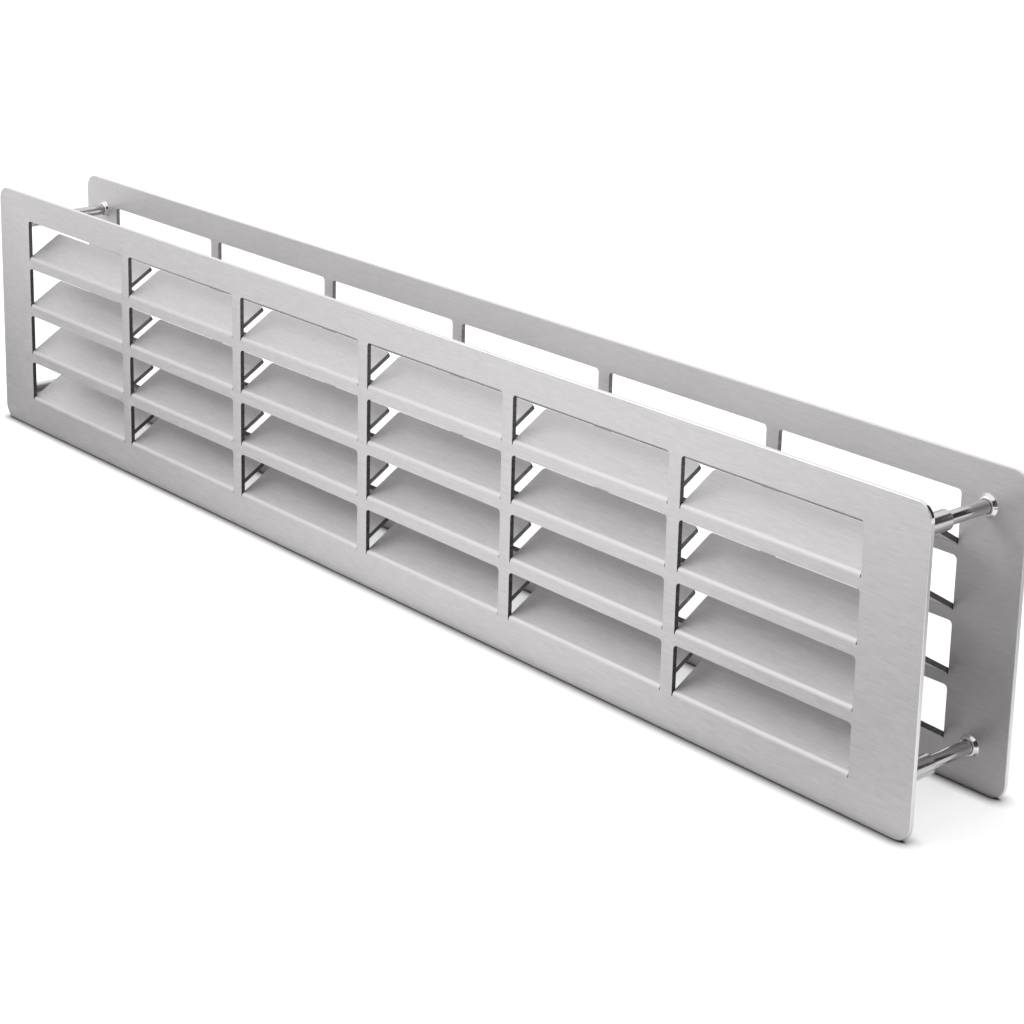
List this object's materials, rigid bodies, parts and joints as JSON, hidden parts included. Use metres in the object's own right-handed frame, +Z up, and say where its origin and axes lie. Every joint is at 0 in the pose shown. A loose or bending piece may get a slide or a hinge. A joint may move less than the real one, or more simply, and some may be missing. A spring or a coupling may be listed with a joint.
{
  "type": "door vent grille",
  "caption": "Two-part louvred ventilation grille for a door leaf, in brushed steel sheet, its plates drawn together by countersunk screws in welded sleeves.",
  "frame": {"origin": "middle of the footprint, midway between the two plates, at their lower edges", "axes": "+X along the grille, to the right seen from the front plate; +Y from the front plate to the rear plate; +Z up"},
  "size_m": [0.457, 0.0402, 0.092],
  "materials": {
    "brushed_sheet": "stainless steel sheet brushed along its length",
    "turned_steel": "bright turned stainless steel",
    "screw_steel": "smooth bright stainless steel screw"
  },
  "bodies": {
    "front": {"front_plate": "brushed_sheet", "sleeve_top_left": "turned_steel", "sleeve_top_right": "turned_steel", "sleeve_bottom_left": "turned_steel", "sleeve_bottom_right": "turned_steel"},
    "rear": {"rear_plate": "brushed_sheet"},
    "screw_top_left": {"screw_top_left": "screw_steel"},
    "screw_top_right": {"screw_top_right": "screw_steel"},
    "screw_bottom_left": {"screw_bottom_left": "screw_steel"},
    "screw_bottom_right": {"screw_bottom_right": "screw_steel"}
  },
  "joints": [
    {"name": "rear_travel", "type": "slide", "parent": "front", "child": "rear", "axis": [0, 1, 0], "range_m": [-0.0052, 0.0028]},
    {"name": "screw_top_left_turn", "type": "hinge", "parent": "rear", "child": "screw_top_left", "pos_m": [-0.2161, 0.0201, 0.08], "axis": [0, 1, 0], "range_deg": [-2675, 1441]},
    {"name": "screw_top_right_turn", "type": "hinge", "parent": "rear", "child": "screw_top_right", "pos_m": [0.2161, 0.0201, 0.08], "axis": [0, 1, 0], "range_deg": [-2675, 1441]},
    {"name": "screw_bottom_left_turn", "type": "hinge", "parent": "rear", "child": "screw_bottom_left", "pos_m": [-0.2161, 0.0201, 0.012], "axis": [0, 1, 0], "range_deg": [-2675, 1441]},
    {"name": "screw_bottom_right_turn", "type": "hinge", "parent": "rear", "child": "screw_bottom_right", "pos_m": [0.2161, 0.0201, 0.012], "axis": [0, 1, 0], "range_deg": [-2675, 1441]}
  ],
  "couplings": [
    {"joint": "screw_top_left_turn", "follows": "rear_travel", "rad_per_m": 8976},
    {"joint": "screw_top_right_turn", "follows": "rear_travel", "rad_per_m": 8976},
    {"joint": "screw_bottom_left_turn", "follows": "rear_travel", "rad_per_m": 8976},
    {"joint": "screw_bottom_right_turn", "follows": "rear_travel", "rad_per_m": 8976}
  ]
}
